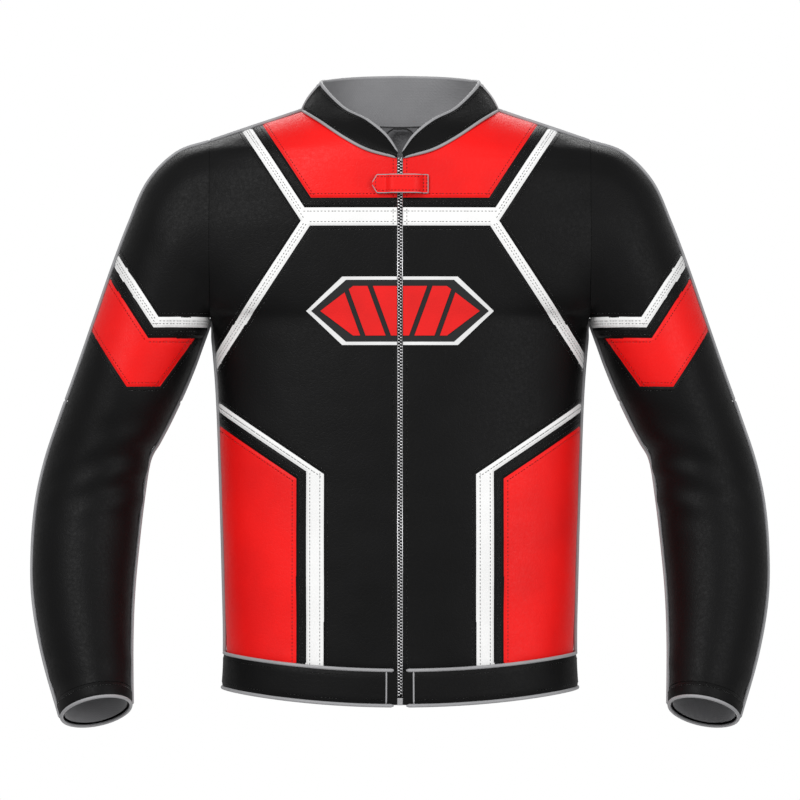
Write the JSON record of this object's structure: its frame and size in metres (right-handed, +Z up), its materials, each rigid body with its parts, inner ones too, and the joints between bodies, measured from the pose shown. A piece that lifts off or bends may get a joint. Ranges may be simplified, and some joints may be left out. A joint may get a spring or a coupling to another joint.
{
  "type": "riding jacket",
  "caption": "Leather riding jacket with a stand collar, centre front zip, throat tab, colour-blocked panels and pre-curved sleeves.",
  "frame": {"origin": "underside of the hang loop inside the back of the neck, where a hook bears", "axes": "+Z up, the front faces -Y, +X towards the wearer's left sleeve"},
  "size_m": [0.8222, 0.2518, 0.7319],
  "materials": {
    "leather_black": "soft sheen, fine grain",
    "leather_red": "soft sheen, fine grain",
    "leather_white": "soft sheen, fine grain",
    "lining_grey": "smooth woven lining",
    "piping_grey": "satin",
    "tape_black": "woven tape",
    "zip_metal": "satin",
    "armour_foam": "matte",
    "fastener_black": "hook and loop",
    "badge_rubber": "matte"
  },
  "bodies": {
    "torso": {"yoke_left": "leather_red", "yoke_right": "leather_red", "chest_stripe_left": "leather_white", "chest_stripe_right": "leather_white", "chest_panel_left": "leather_black", "chest_panel_right": "leather_black", "shoulder_panel_left": "leather_black", "shoulder_panel_right": "leather_black", "side_stripe_left": "leather_white", "side_stripe_right": "leather_white", "side_panel_left": "leather_red", "side_panel_right": "leather_red", "back_yoke": "leather_red", "yoke_edging": "leather_black", "back_stripe": "leather_white", "back_panel": "leather_black", "side_edging": "leather_black", "waistband_left": "leather_black", "waistband_right": "leather_black", "waistband_back": "leather_black", "waistband_tabs": "leather_black", "collar": "leather_black", "collar_lining": "lining_grey", "trim_piping": "piping_grey", "chest_badge": "badge_rubber", "body_lining": "lining_grey", "back_protector": "armour_foam", "zip_tape_left": "tape_black", "zip_tape_right": "tape_black", "zip_teeth_left": "zip_metal", "zip_teeth_right": "zip_metal", "zip_stops": "zip_metal", "throat_tab_base": "leather_red", "tab_loop_pad": "fastener_black", "hang_loop": "tape_black"},
    "left_upper_sleeve": {"sleeve_cap_left": "leather_black", "sleeve_stripe_left": "leather_white", "sleeve_chevron_left": "leather_red", "sleeve_middle_left": "leather_black", "upper_sleeve_lining_left": "lining_grey", "shoulder_pad_left": "armour_foam"},
    "right_upper_sleeve": {"sleeve_cap_right": "leather_black", "sleeve_stripe_right": "leather_white", "sleeve_chevron_right": "leather_red", "sleeve_middle_right": "leather_black", "upper_sleeve_lining_right": "lining_grey", "shoulder_pad_right": "armour_foam"},
    "left_forearm": {"forearm_left": "leather_black", "cuff_left": "leather_black", "forearm_lining_left": "lining_grey", "elbow_pad_left": "armour_foam"},
    "right_forearm": {"forearm_right": "leather_black", "cuff_right": "leather_black", "forearm_lining_right": "lining_grey", "elbow_pad_right": "armour_foam"},
    "throat_tab": {"throat_tab": "leather_red", "tab_hook_pad": "fastener_black"},
    "zip_slider": {"zip_slider": "zip_metal"},
    "zip_pull": {"zip_pull": "zip_metal"}
  },
  "joints": [
    {"name": "left_shoulder_swing", "type": "hinge", "parent": "torso", "child": "left_upper_sleeve", "pos_m": [0.213, -0.061, -0.1155], "axis": [-1, 0, 0], "range_deg": [0, 45]},
    {"name": "left_elbow_flex", "type": "hinge", "parent": "left_upper_sleeve", "child": "left_forearm", "pos_m": [0.34, -0.1364, -0.375], "axis": [-1, 0, 0], "range_deg": [0, 50]},
    {"name": "right_shoulder_swing", "type": "hinge", "parent": "torso", "child": "right_upper_sleeve", "pos_m": [-0.213, -0.061, -0.1155], "axis": [-1, 0, 0], "range_deg": [0, 45]},
    {"name": "right_elbow_flex", "type": "hinge", "parent": "right_upper_sleeve", "child": "right_forearm", "pos_m": [-0.34, -0.1364, -0.375], "axis": [-1, 0, 0], "range_deg": [0, 50]},
    {"name": "throat_tab_lift", "type": "hinge", "parent": "torso", "child": "throat_tab", "pos_m": [0.0246, -0.17033, -0.06682], "axis": [0, 0.0494, 0.9988], "range_deg": [0, 110]},
    {"name": "zip_slide", "type": "slide", "parent": "torso", "child": "zip_slider", "axis": [0, -0.0494, -0.9988], "range_m": [0, 0.55]},
    {"name": "zip_pull_swing", "type": "hinge", "parent": "zip_slider", "child": "zip_pull", "pos_m": [0, -0.17178, -0.06375], "axis": [-1, 0, 0], "range_deg": [0, 10]}
  ]
}
